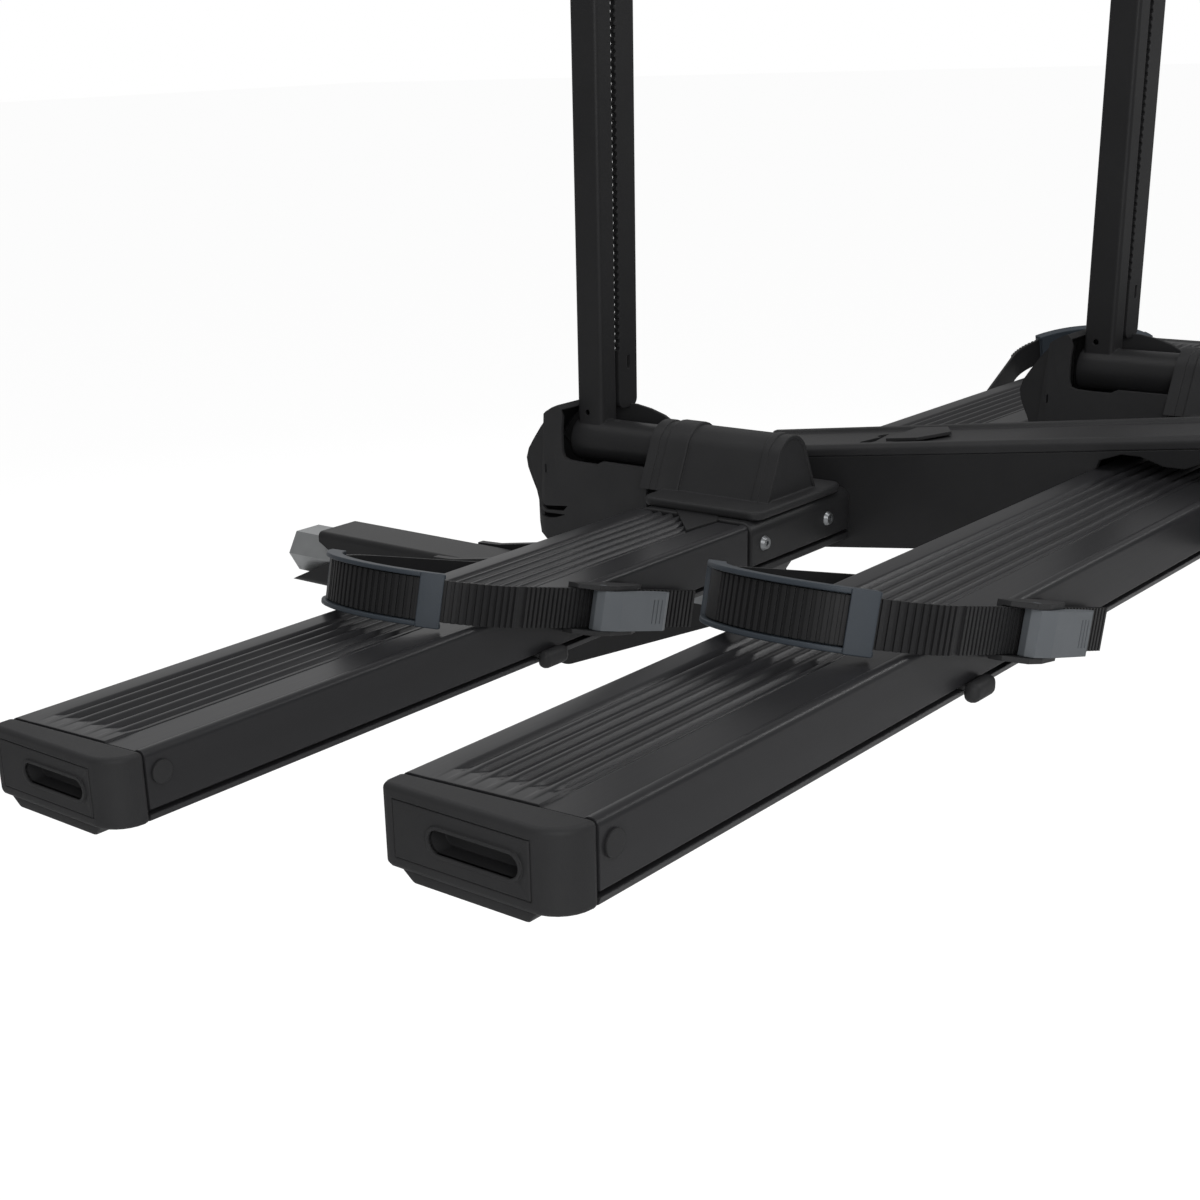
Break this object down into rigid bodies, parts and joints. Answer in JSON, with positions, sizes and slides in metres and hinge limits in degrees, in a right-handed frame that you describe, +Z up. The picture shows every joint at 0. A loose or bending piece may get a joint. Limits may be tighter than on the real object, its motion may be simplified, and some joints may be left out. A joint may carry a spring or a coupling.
{
  "type": "hitch platform bike rack",
  "caption": "Hitch-mounted platform rack for bikes with folding masts, ribbed wheel trays, a tilting spine and ratchet wheel straps, in satin black.",
  "frame": {"origin": "centre of the hitch pin hole in the square shank", "axes": "+X along the wheel trays, +Y towards the vehicle, +Z up"},
  "size_m": [1.3416, 0.929, 0.8615],
  "materials": {
    "powder_coat": "satin black powder coat",
    "anodised": "black anodised extrusion",
    "zinc": "dull zinc plate",
    "screw_steel": "plain stainless",
    "black_plastic": "fine grained moulding",
    "slate_plastic": "smooth satin moulding",
    "strap_plastic": "flexible moulded strap"
  },
  "bodies": {
    "hitch": {"hitch_tube": "powder_coat", "anti_rattle_wedge": "zinc", "wedge_rod": "screw_steel", "yoke": "powder_coat", "pivot_bolt": "screw_steel"},
    "spine": {"spine_knuckle": "powder_coat", "spine_shell": "powder_coat", "spine_cap": "black_plastic", "spine_cover_plate": "black_plastic", "spine_belly": "powder_coat", "spine_end_cap": "black_plastic", "tray_a_near": "anodised", "tray_a_far": "anodised", "tray_b_near": "anodised", "tray_b_far": "anodised", "end_cap_a_near": "black_plastic", "end_cap_a_far": "black_plastic", "end_cap_b_near": "black_plastic", "end_cap_b_far": "black_plastic", "end_panels": "black_plastic", "side_plugs": "black_plastic", "bracket_a": "powder_coat", "bracket_b": "powder_coat", "bracket_screws": "screw_steel", "dome_a": "black_plastic", "dome_b": "black_plastic", "shroud_a": "powder_coat", "shroud_b": "powder_coat"},
    "mast_a_body": {"mast_a": "powder_coat", "toothed_bar_a": "powder_coat", "mast_cap_a": "black_plastic"},
    "hook_a_body": {"slider_a": "black_plastic", "hook_a": "strap_plastic"},
    "mast_b_body": {"mast_b": "powder_coat", "toothed_bar_b": "powder_coat", "mast_cap_b": "black_plastic"},
    "hook_b_body": {"slider_b": "black_plastic", "hook_b": "strap_plastic"},
    "strap_a_near_body": {"groove_sliders_a_near": "black_plastic", "strap_a_near": "strap_plastic", "guide_a_near": "slate_plastic", "buckle_base_a_near": "black_plastic"},
    "lever_a_near_body": {"lever_a_near": "slate_plastic"},
    "strap_a_far_body": {"groove_sliders_a_far": "black_plastic", "strap_a_far": "strap_plastic", "guide_a_far": "slate_plastic", "buckle_base_a_far": "black_plastic"},
    "lever_a_far_body": {"lever_a_far": "slate_plastic"},
    "strap_b_near_body": {"groove_sliders_b_near": "black_plastic", "strap_b_near": "strap_plastic", "guide_b_near": "slate_plastic", "buckle_base_b_near": "black_plastic"},
    "lever_b_near_body": {"lever_b_near": "slate_plastic"},
    "strap_b_far_body": {"groove_sliders_b_far": "black_plastic", "strap_b_far": "strap_plastic", "guide_b_far": "slate_plastic", "buckle_base_b_far": "black_plastic"},
    "lever_b_far_body": {"lever_b_far": "slate_plastic"}
  },
  "joints": [
    {"name": "rack_tilt", "type": "hinge", "parent": "hitch", "child": "spine", "pos_m": [0, -0.338, 0.044], "axis": [-1, 0, 0], "range_deg": [-35, 80]},
    {"name": "mast_a_fold", "type": "hinge", "parent": "spine", "child": "mast_a_body", "pos_m": [-0.1, -0.292, 0.162], "axis": [0, -1, 0], "range_deg": [0, 90]},
    {"name": "hook_a_slide", "type": "slide", "parent": "mast_a_body", "child": "hook_a_body", "axis": [0, 0, 1], "range_m": [-0.25, 0]},
    {"name": "mast_b_fold", "type": "hinge", "parent": "spine", "child": "mast_b_body", "pos_m": [0.154, -0.551, 0.1945], "axis": [0, -1, 0], "range_deg": [0, 90]},
    {"name": "hook_b_slide", "type": "slide", "parent": "mast_b_body", "child": "hook_b_body", "axis": [0, 0, 1], "range_m": [-0.25, 0]},
    {"name": "strap_a_near_slide", "type": "slide", "parent": "spine", "child": "strap_a_near_body", "axis": [1, 0, 0], "range_m": [-0.12, 0.03]},
    {"name": "lever_a_near_flip", "type": "hinge", "parent": "strap_a_near_body", "child": "lever_a_near_body", "pos_m": [-0.33537, -0.476, 0.12504], "axis": [-0.247, 0, -0.969], "range_deg": [0, 95]},
    {"name": "strap_a_far_slide", "type": "slide", "parent": "spine", "child": "strap_a_far_body", "axis": [1, 0, 0], "range_m": [-0.05, 0.08]},
    {"name": "lever_a_far_flip", "type": "hinge", "parent": "strap_a_far_body", "child": "lever_a_far_body", "pos_m": [0.38837, -0.476, 0.12504], "axis": [-0.247, 0, 0.969], "range_deg": [0, 95]},
    {"name": "strap_b_near_slide", "type": "slide", "parent": "spine", "child": "strap_b_near_body", "axis": [1, 0, 0], "range_m": [-0.12, 0.03]},
    {"name": "lever_b_near_flip", "type": "hinge", "parent": "strap_b_near_body", "child": "lever_b_near_body", "pos_m": [-0.33537, -0.735, 0.15754], "axis": [-0.247, 0, -0.969], "range_deg": [0, 95]},
    {"name": "strap_b_far_slide", "type": "slide", "parent": "spine", "child": "strap_b_far_body", "axis": [1, 0, 0], "range_m": [-0.05, 0.08]},
    {"name": "lever_b_far_flip", "type": "hinge", "parent": "strap_b_far_body", "child": "lever_b_far_body", "pos_m": [0.38837, -0.735, 0.15754], "axis": [-0.247, 0, 0.969], "range_deg": [0, 95]}
  ]
}
